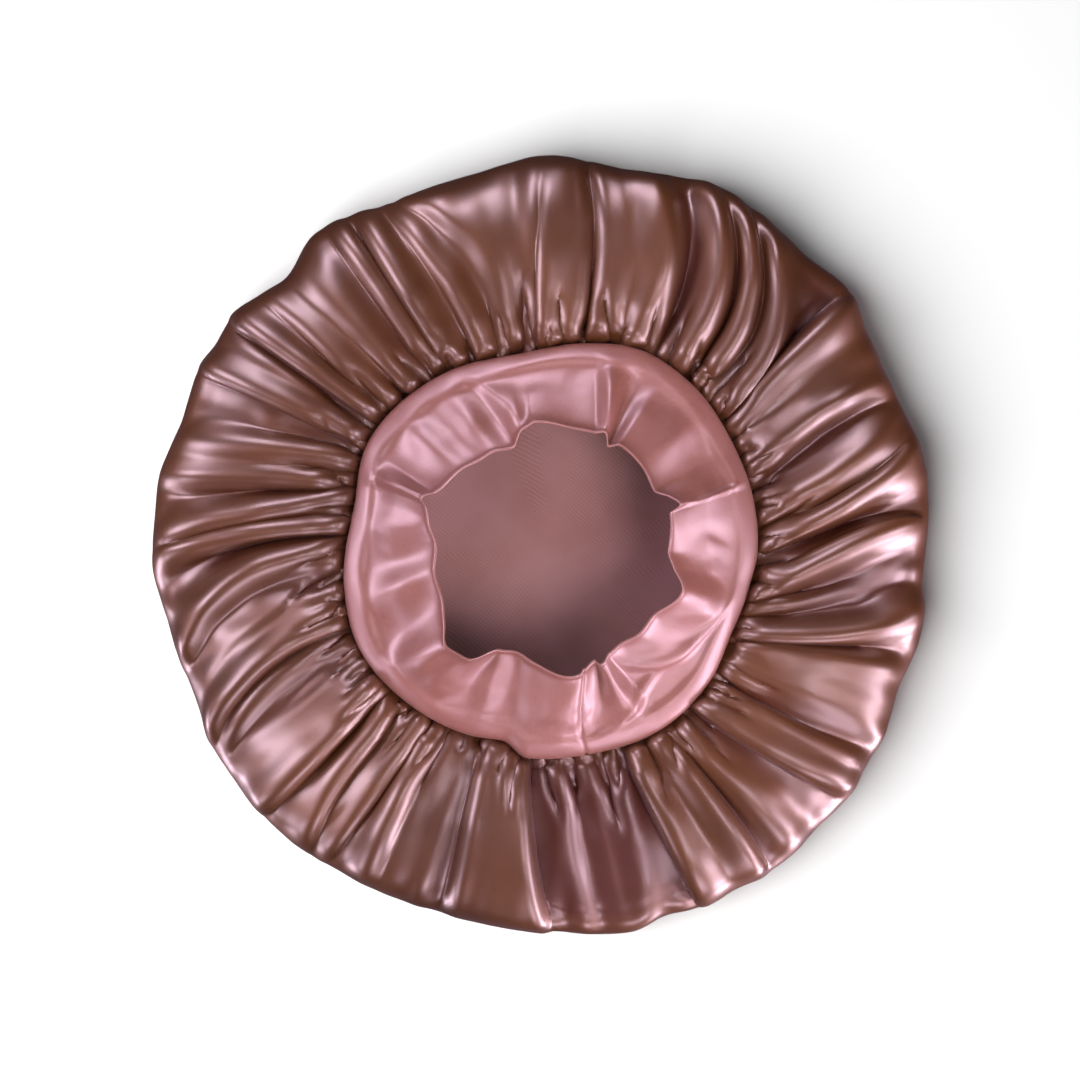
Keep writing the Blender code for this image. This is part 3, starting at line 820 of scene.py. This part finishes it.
class Cloth:
    """What the crown and the band share: cutting a piece and carrying it into place."""

    @staticmethod
    def seam_radius(degrees: Array) -> Array:
        """Radius of the band's outer edge."""
        return all_round(SEAM, degrees) * MM

    @staticmethod
    def facing(
        section: Callable[[Array, Array], Pair], degrees: Array, cloth: Array
    ) -> Pair:
        """Finds which way a cross-section faces.

        Args:
            section: Gives (radius, height) from (degrees, share of the cloth).
            degrees: Each point's angle.
            cloth: Its share of the cloth.

        Returns:
            The outward and the upward part of that way.
        """
        step = 0.004
        ahead = section(degrees, np.minimum(cloth + step, 1.0))
        behind = section(degrees, np.maximum(cloth - step, 0.0))
        run, climb = ahead[0] - behind[0], ahead[1] - behind[1]
        length = np.maximum(np.hypot(run, climb), 1e-9)
        return climb / length, -run / length

    @staticmethod
    def spun(profile: Sequence[Span], sides: int) -> bmesh.types.BMesh:
        """Spins a profile into a sheet, still in the flat pattern.

        Args:
            profile: Its (distance from the middle, depth) points.
            sides: How many steps it takes round.

        Returns:
            The sheet.
        """
        sheet = bmesh.new()
        points = [sheet.verts.new((distance, 0.0, depth)) for distance, depth in profile]
        edges = [sheet.edges.new(pair) for pair in zip(points, points[1:])]
        bmesh.ops.spin(
            sheet,
            geom=points + edges,
            axis=(0.0, 0.0, 1.0),
            cent=(0.0, 0.0, 0.0),
            angle=math.tau,
            steps=sides,
            use_merge=True,
        )
        bmesh.ops.remove_doubles(sheet, verts=sheet.verts, dist=1e-7)
        bmesh.ops.recalc_face_normals(sheet, faces=sheet.faces)
        return sheet

    @staticmethod
    def pattern(mesh: bpy.types.Mesh) -> Array:
        """Reads a mesh that still lies in the flat pattern.

        Args:
            mesh: The mesh.

        Returns:
            Three rows: across, along and depth.
        """
        points = np.empty(len(mesh.vertices) * 3)
        mesh.vertices.foreach_get("co", points)
        return points.reshape(-1, 3).T

    @classmethod
    def carried(cls, mesh: bpy.types.Mesh, place: Placer, inset: float, pattern_scale: float) -> None:
        """Moves a mesh from the pattern into the bonnet, and keeps the pattern as its UV map.

        Args:
            mesh: The piece in the flat pattern.
            place: Gives their degrees, radii and heights from degrees, cloth and depths.
            inset: Distance in the pattern where the cloth starts.
            pattern_scale: Metres of cut cloth to one unit of the pattern.
        """
        across, along, depth = cls.pattern(mesh)
        cloth = np.hypot(across, along) - inset
        degrees, radius, height = place(np.degrees(np.arctan2(along, across)), cloth, depth)
        angle = np.radians(degrees)
        right = BAND_CENTRE[0] + radius * np.cos(angle)
        up = BAND_CENTRE[1] + radius * np.sin(angle)
        mesh.vertices.foreach_set("co", np.column_stack([right, up, height]).ravel())
        layer = mesh.uv_layers.new(name="pattern")
        corner = np.empty(len(mesh.loops), dtype=np.int32)
        mesh.loops.foreach_get("vertex_index", corner)
        flat = np.column_stack([across, along])[corner] * pattern_scale
        layer.uv.foreach_set("vector", flat.ravel())
        mesh.update()

    @staticmethod
    def face_out(
        mesh: bpy.types.Mesh, measure: Callable[[bpy.types.MeshPolygon], float], up: float
    ) -> None:
        """Turns a sheet right side out, going by one face whose way is known.

        Args:
            mesh: The piece.
            measure: What is least at that face.
            up: 1 where that face has to face up, and -1 where it has to face down.
        """
        known = min(mesh.polygons, key=measure)
        if known.normal.z * up < 0.0:
            mesh.flip_normals()

    @staticmethod
    def hung(mesh: bpy.types.Mesh, *materials: bpy.types.Material) -> bpy.types.Object:
        """Makes a finished piece of a mesh, and lets it ride on the bonnet.

        Args:
            mesh: The piece's mesh, whose name it takes.
            *materials: What it is made of.

        Returns:
            The piece.
        """
        for material in materials:
            mesh.materials.append(material)
        mesh.shade_smooth()
        piece = bpy.data.objects.new(mesh.name, mesh)
        bpy.context.scene.collection.objects.link(piece)
        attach(piece, "root")
        return piece


@dataclass
class GatheredCrown(Cloth):
    """The round crown, gathered all round its edge.

    Attributes:
        cut_diameter: The circle it is cut to.
        lines: Lines of the mesh round the crown.
        thickness: Thickness of the single layer of satin.
        puffing: How far folds swell sideways over the pinches beside them.
        sewn_share: The share of the way over which folds rise from the seam.
        unevenness: How far the cloth's turn down into the seam wanders, as a share of the cloth.
        rim_ease: How much of its height a pleat loses where it turns over the rim.
        rim_turn: The shares of the way between which it loses it.
        tuck: Heights between which the folds fade out under the rim.
        fold_shade_depths: Depths between which the painted shade in a fold goes from none to its
            darkest.
        probe: Degrees to either side over which a fold's slope is felt.
        least_step: Degrees that the two sides of a fold lie apart at the least.
        least_radius: The least radius that a swell is worked out for.
        most_swell: The farthest that a fold swells.
    """

    cut_diameter: float = 0.580
    lines: int = 880
    thickness: float = 0.6 * MM
    puffing: float = 1.2 * MM
    sewn_share: float = 0.02
    unevenness: float = 0.005
    rim_ease: float = 0.85
    rim_turn: Span = (0.90, 1.0)
    tuck: Span = (1.0 * MM, 9.0 * MM)
    fold_shade_depths: Span = (-1.0 * MM, 9.0 * MM)
    probe: float = 0.2
    least_step: float = 0.05
    least_radius: float = 10.0 * MM
    most_swell: float = 2.5 * MM

    def __post_init__(self) -> None:
        """Gathers every fold of the crown."""
        self.pleating = Pleating(CROWN_PLEATS, crest=5.0 * MM, radii=(95.0 * MM, 178.0 * MM))
        small = ChanceFolds(
            count=80, seed=5, start=(0.0, 0.6), length=(0.25, 0.5),
            lift=(0.3, 0.9), width=(1.3, 3.6), slant=3.0,
        )
        broad = ChanceFolds(
            count=16, seed=8, start=(0.25, 0.6), length=(0.9, 1.2),
            lift=(0.4, 1.0), width=(7.0, 14.0), slant=5.0,
        )
        self.small = Drape(small.rows() + broad.rows(), fade=0.5)
        self.ripple = Ripple()
        self.gathers = Drape(
            GatherRow().rows(), spread_gain=1.5, fade=0.85, crest=0.5 * MM, least_flank=0.8 * MM
        )

    @staticmethod
    def way(cloth: Array) -> Array:
        """How far out a place on the crown's top lies: 0 at the seam and 1 at the rim."""
        return out_along(TOP_SIDE, np.maximum(cloth, TOP_SIDE[0].cloth))

    @staticmethod
    def wavering(degrees: Array) -> Array:
        """An uneven wave round the crown, mostly between -1 and 1."""
        waves = ((17, 1.0), (31, 2.0), (53, 0.5), (71, 3.0))
        return sum(np.sin(count * np.radians(degrees) + start) for count, start in waves) / 2.0

    def section(self, degrees: Array, cloth: Array) -> Pair:
        """Places the crown's cloth before any fold.

        Args:
            degrees: Each point's angle.
            cloth: Its share of the cut circle's radius.

        Returns:
            Its radius and height.
        """
        seam, rim = self.seam_radius(degrees), all_round(RIM, degrees) * MM
        on_top = cloth > TOP_SIDE[0].cloth
        above, below = seam + (rim - seam) * self.way(cloth), rim * out_along(UNDERSIDE, cloth)
        uneven = np.minimum(cloth - self.unevenness * self.wavering(degrees), 1.0)
        height = np.where(on_top, up_along(TOP_SIDE, uneven), up_along(UNDERSIDE, cloth))
        return np.where(on_top, above, below), height

    def folded(self, pattern_degrees: Array, cloth: Array) -> Pair:
        """Folds the crown's cloth.

        Args:
            pattern_degrees: Each point's angle in the pattern.
            cloth: Its share of the cut circle's radius.

        Returns:
            Its angle in the bonnet, and how far all the folds lift it.
        """
        way = np.clip(self.way(cloth), 0.0, 1.0)
        degrees, total = self.pleating.across(pattern_degrees, way)
        radius, height = self.section(degrees, cloth)
        total += self.small.height(degrees, way, radius)
        total += self.ripple.height(degrees, radius)
        total += self.gathers.height(degrees, way, radius)
        eased = 1.0 - self.rim_ease * smooth_step(*self.rim_turn, way)
        total *= smooth_step(0.0, self.sewn_share, way) * eased
        return degrees, total * smooth_step(*self.tuck, height)

    def place(self, pattern_degrees: Array, cloth: Array, depth: Array) -> Trio:
        """Carries points of the cut circle into the gathered crown.

        Args:
            pattern_degrees: Their angles in the pattern.
            cloth: Their shares of the cut circle's radius.
            depth: How far inside the right side they lie.

        Returns:
            Their angles, radii and heights.
        """
        cloth = np.clip(cloth, 0.0, 1.0)
        degrees, lift = self.folded(pattern_degrees, cloth)
        radius, height = self.section(degrees, cloth)
        outward, upward = self.facing(self.section, degrees, cloth)
        before, low = self.folded(pattern_degrees - self.probe, cloth)
        after, high = self.folded(pattern_degrees + self.probe, cloth)
        reach = np.maximum(radius, self.least_radius)
        run = np.radians(np.maximum(after - before, self.least_step)) * reach
        swell = np.clip(-self.puffing * (high - low) / run, -self.most_swell, self.most_swell)
        away = np.maximum(outward, 0.0)
        turned = degrees + np.degrees(swell / reach)
        return turned, radius + away * lift - outward * depth, height + upward * (lift - depth)

    def note_fold_shade(self, mesh: bpy.types.Mesh) -> None:
        """Keeps how deep each point will lie in the folds, as an attribute by which the finish paints
        shade into them.

        Args:
            mesh: The cut circle, still in the flat pattern.
        """
        across, along, _ = self.pattern(mesh)
        cloth = np.clip(np.hypot(across, along), 0.0, 1.0)
        _, lift = self.folded(np.degrees(np.arctan2(along, across)), cloth)
        painted_fold_shade = mesh.attributes.new("painted_fold_shade", "FLOAT", "POINT")
        painted_fold_shade.data.foreach_set("value", smooth_step(*self.fold_shade_depths, -lift).astype(np.float32))

    def steps(self) -> list[Span]:
        """Sets out the mesh's rings: wide apart where the crown rests, close on its folds.

        Returns:
            Each ring's share of the cloth, and its depth of 0.
        """
        resting = np.linspace(0.0, 0.50, 5)
        turning = np.linspace(0.50, 0.645, 9)[1:]
        folded = np.linspace(0.645, 0.93, 29)[1:]
        gathered = np.linspace(0.93, 1.0, 15)[1:]
        rings = np.concatenate([resting, turning, folded, gathered])
        return [(float(cloth), 0.0) for cloth in rings]

    def build(self) -> bpy.types.Object:
        """Cuts, gathers and dresses the crown.

        Returns:
            The finished piece.
        """
        radius = self.cut_diameter / 2.0
        mesh = as_mesh(self.spun(self.steps(), self.lines), "satin_crown")
        # Notes the fold depths that the crown's finish paints shade by.
        self.note_fold_shade(mesh)
        self.carried(mesh, self.place, inset=0.0, pattern_scale=radius)
        self.face_out(mesh, lambda face: Vector(face.center).xy.length, up=-1.0)
        piece = self.hung(mesh, CROWN_SATIN.material(), CROWN_REVERSE.material())
        wall = piece.modifiers.new("cloth", "SOLIDIFY")
        wall.thickness = self.thickness
        wall.offset = -1.0
        wall.material_offset = Side.REVERSE.value
        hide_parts("crown")
        return piece


@dataclass
class FoldedBand(Cloth):
    """The band: satin folded double, rolled over the seam and leaning in.

    Attributes:
        cut_length: Its length round the head; not used.
        width: Its width once folded double.
        wall: Its thickness at the fold.
        lines: Lines of the mesh round the band.
        rise: How far it climbs from the roll to its free edge.
        mean_free_radius: The free edge's usual radius.
        edge_climb: How much higher it stands where it spreads outwards.
        seam_gap: The gap left over the crown's gathered edge.
        crease_start: Shares of the cloth between which its creases rise from the roll.
        edge_turn: Shares of the cloth between which they ease off at the free edge.
        edge_ease: How much of their height they lose there.
    """

    cut_length: float = 0.600
    width: float = 0.052
    wall: float = 1.5 * MM
    lines: int = 720
    rise: float = 20.0 * MM
    mean_free_radius: float = 57.0 * MM
    edge_climb: float = 0.45
    seam_gap: float = 0.3 * MM
    crease_start: Span = (0.14, 0.60)
    edge_turn: Span = (0.75, 1.0)
    edge_ease: float = 0.45

    def __post_init__(self) -> None:
        """Gathers the band's creases."""
        self.pleating = Pleating(BAND_PLEATS, crest=4.0 * MM, radii=(95.0 * MM, 57.0 * MM))
        even = {"spread_at_seam": 1.0, "spread_gain": 0.0}
        self.creases = Drape(BAND_FOLDS, **even, crest=1.0 * MM)
        self.join = Drape(JOIN, **even, crest=0.1 * MM, least_flank=0.5 * MM)
        small = ChanceFolds(
            count=30, seed=21, start=(0.1, 0.6), length=(0.25, 0.5),
            lift=(0.15, 0.5), width=(2.0, 5.0), slant=3.0,
        )
        self.small = Drape(small.rows(), least_flank=0.8 * MM)
        self.ripple = Ripple(seed=9, length=(10.0 * MM, 30.0 * MM), rise=0.18 * MM)

    @staticmethod
    def way(cloth: Array) -> Array:
        """How far in a place on the band lies: 0 at its outer edge and 1 at its free edge."""
        return out_along(BAND_SECTION, cloth)

    def section(self, degrees: Array, cloth: Array) -> Pair:
        """Places the band's cloth before any crease.

        Args:
            degrees: Each point's angle.
            cloth: Its share of the strip's width.

        Returns:
            Its radius and height.
        """
        outer, free = self.seam_radius(degrees), all_round(FREE_EDGE, degrees) * MM
        rise = self.rise + self.edge_climb * (free - self.mean_free_radius)
        climbed = cloth * (0.5 + 0.5 * cloth)  # steeper towards the free edge
        radius = outer - (outer - free) * self.way(cloth)
        return radius, self.seam_gap + up_along(BAND_SECTION, cloth) + rise * climbed

    def place(self, pattern_degrees: Array, cloth: Array, depth: Array) -> Trio:
        """Carries points of the band's strip into the made-up bonnet.

        Args:
            pattern_degrees: Their angles in the pattern.
            cloth: Their shares of the strip's width, over 1 round the free edge.
            depth: How far inside the right side they lie.

        Returns:
            Their angles, radii and heights.
        """
        beyond = np.maximum(cloth - 1.0, 0.0) * self.width
        cloth = np.clip(cloth, 0.0, 1.0)
        way = np.clip(self.way(cloth), 0.0, 1.0)
        degrees, lift = self.pleating.across(pattern_degrees, way)
        radius, height = self.section(degrees, cloth)
        outward, upward = self.facing(self.section, degrees, cloth)
        lift += self.creases.height(degrees, way, radius) + self.small.height(degrees, way, radius)
        lift += self.ripple.height(degrees, radius)
        eased = 1.0 - self.edge_ease * smooth_step(*self.edge_turn, cloth)
        lift *= smooth_step(*self.crease_start, cloth) * eased
        move = lift + self.join.height(degrees, way, radius) - depth
        radius = radius + outward * move - upward * beyond
        return degrees, radius, height + upward * move + outward * beyond

    def profile(self) -> list[Span]:
        """Sets out the strip's closed section: right side, round free edge and inner face.

        Returns:
            Its points: 1 more than the share of the cloth, and the depth.
        """
        outer = [(1.0 + float(cloth), 0.0) for cloth in np.linspace(0.0, 1.0, 34)]
        half = self.wall / 2.0
        bends = np.linspace(0.0, math.pi, 7)[1:-1]
        edge = [
            (2.0 + half * math.sin(bend) / self.width, half * (1.0 - math.cos(bend)))
            for bend in bends
        ]
        inner = [(1.0 + float(cloth), self.wall) for cloth in np.linspace(1.0, 0.0, 20)]
        return outer + edge + inner + outer[:1]

    def build(self) -> bpy.types.Object:
        """Cuts, folds and dresses the band.

        Returns:
            The finished piece.
        """
        mesh = as_mesh(self.spun(self.profile(), self.lines), "satin_band")
        self.carried(mesh, self.place, inset=1.0, pattern_scale=self.width)
        self.face_out(mesh, lambda face: -face.center.z, up=1.0)
        piece = self.hung(mesh, BAND_SATIN.material())
        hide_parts("band")
        return piece


class Task(Enum):
    """What a light is for."""

    SHADOW = "lights the floor alone, and draws the bonnet's shadow"
    FILL = "lights the cloth alone"
    GLINT = "lights the cloth alone, and glints on it"


class Lamp(NamedTuple):
    """A soft light: where it hangs, its width, power and colour, and what it is for."""

    name: str
    place: Triple
    width: float
    power: float
    colour: Triple
    task: Task


WARM = (1.0, 1.0, 0.98)
LILAC = (1.0, 0.80, 1.0)
PALE_LILAC = (1.0, 0.82, 1.0)


@dataclass
class Studio:
    """The plain pale floor, the soft lights and the camera.

    Attributes:
        floor_size: Width of the floor.
        camera_height: Height of the camera over the floor.
        frame_width: What the photograph's frame takes in at the height of the rim.
        rim_height: That height.
        film_width: Width of the camera's film, in millimetres.
        aim: Where the camera looks straight down, from the origin.
    """

    floor_size: float = 6.0
    camera_height: float = 2.5
    frame_width: float = 0.4968
    rim_height: float = 22.0 * MM
    film_width: float = 36.0
    aim: Span = (-0.46 * MM, 2.76 * MM)

    LAMPS = (
        Lamp("sky", (0.30, 0.30, 1.60), 0.90, 3.0, WHITE, Task.SHADOW),
        Lamp("sun", (-0.88, -0.48, 1.38), 2.20, 100.0, WHITE, Task.SHADOW),
        Lamp("key", (0.60, -0.60, 1.35), 0.70, 24.0, WARM, Task.FILL),
        Lamp("left_fill", (-0.75, -0.20, 1.25), 0.70, 6.0, WARM, Task.FILL),
        Lamp("far_fill", (0.20, 0.85, 1.30), 0.70, 5.0, WARM, Task.FILL),
        Lamp("under", (0.10, -0.10, -1.20), 0.80, 14.0, WHITE, Task.FILL),
        Lamp("high", (0.50, -0.30, 1.40), 0.50, 7.0, PALE_LILAC, Task.GLINT),
        Lamp("window", (-1.03, 0.18, 0.75), 0.55, 13.0, LILAC, Task.GLINT),
        Lamp("far", (-0.30, 1.16, 0.75), 0.50, 12.0, LILAC, Task.GLINT),
        Lamp("near", (0.30, -1.12, 0.60), 0.50, 7.0, LILAC, Task.GLINT),
        Lamp("side", (1.10, -0.40, 0.60), 0.50, 12.0, LILAC, Task.GLINT),
        Lamp("low_left", (-1.15, -0.75, 0.35), 0.40, 5.0, LILAC, Task.GLINT),
        Lamp("low_right", (1.15, -0.90, 0.22), 0.38, 15.0, LILAC, Task.GLINT),
        Lamp("bounce_left", (-1.10, -0.55, -0.45), 0.50, 9.0, LILAC, Task.GLINT),
        Lamp("bounce_right", (1.00, -0.95, -0.45), 0.50, 18.0, LILAC, Task.GLINT),
    )

    def build(self) -> None:
        """Sets up the floor, the lights and the camera."""
        floor = self.floor()
        floor_alone = self.reach("floor_alone", floor, "INCLUDE")
        all_but_floor = self.reach("all_but_floor", floor, "EXCLUDE")
        for lamp in self.LAMPS:
            self.light(lamp, floor_alone if lamp.task is Task.SHADOW else all_but_floor)
        self.surroundings()
        self.camera()

    def floor(self) -> bpy.types.Object:
        """Lays the pale floor.

        Returns:
            The floor.
        """
        sheet = bmesh.new()
        bmesh.ops.create_grid(sheet, x_segments=2, y_segments=2, size=self.floor_size / 2.0)
        mesh = as_mesh(sheet, "floor")
        finish = Nodes("pale_floor").finished(Base_Color=(0.60, 0.60, 0.60, 1.0), Roughness=0.9)
        mesh.materials.append(finish)
        floor = bpy.data.objects.new("floor", mesh)
        floor.visible_glossy = False
        bpy.context.scene.collection.objects.link(floor)
        return floor

    @staticmethod
    def reach(name: str, floor: bpy.types.Object, state: str) -> bpy.types.Collection:
        """Makes a list for lights that reach the floor alone, or that leave it dark.

        Args:
            name: The list's name.
            floor: The floor.
            state: Whether the floor is the one thing lit, or the one thing left out.

        Returns:
            The list.
        """
        listed = bpy.data.collections.new(name)
        listed.objects.link(floor)
        listed.collection_objects[0].light_linking.link_state = state
        return listed

    def light(self, lamp: Lamp, reach: bpy.types.Collection) -> None:
        """Hangs one soft light, aimed at the bonnet.

        Args:
            lamp: The light.
            reach: What it lights.
        """
        data = bpy.data.lights.new(lamp.name, "AREA")
        data.shape = "DISK"
        data.size = lamp.width
        data.energy = lamp.power
        data.color = lamp.colour
        holder = bpy.data.objects.new(lamp.name, data)
        holder.location = lamp.place
        holder.rotation_euler = (-Vector(lamp.place)).to_track_quat("-Z", "Y").to_euler()
        holder.visible_glossy = lamp.task is Task.GLINT
        holder.light_linking.receiver_collection = reach
        if lamp.task is not Task.SHADOW:
            holder.light_linking.blocker_collection = reach
        bpy.context.scene.collection.objects.link(holder)

    def surroundings(self) -> None:
        """Fills the room with an even, pale light."""
        world = bpy.data.worlds.new("studio")
        world.use_nodes = True
        sky = world.node_tree.nodes["Background"]
        sky.inputs["Color"].default_value = (*WHITE, 1.0)
        sky.inputs["Strength"].default_value = 0.01
        bpy.context.scene.world = world
        bpy.context.scene.view_settings.view_transform = "Standard"

    def camera(self) -> None:
        """Hangs the camera straight over the bonnet."""
        data = bpy.data.cameras.new("camera")
        data.sensor_width = self.film_width
        data.lens = self.film_width * (self.camera_height - self.rim_height) / self.frame_width
        data.clip_end = 20.0
        holder = bpy.data.objects.new("camera", data)
        holder.location = (*self.aim, self.camera_height)
        bpy.context.scene.collection.objects.link(holder)
        bpy.context.scene.camera = holder


def main() -> None:
    """Builds the bonnet's pieces and the studio, and logs each piece's face count."""
    logging.basicConfig(level=logging.INFO, format="%(name)s: %(message)s")
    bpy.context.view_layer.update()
    for maker in (GatheredCrown(), FoldedBand()):
        piece = maker.build()
        LOG.info("%s: %d faces", piece.name, len(piece.data.polygons))
    Studio().build()


if __name__ == "__main__":
    main()
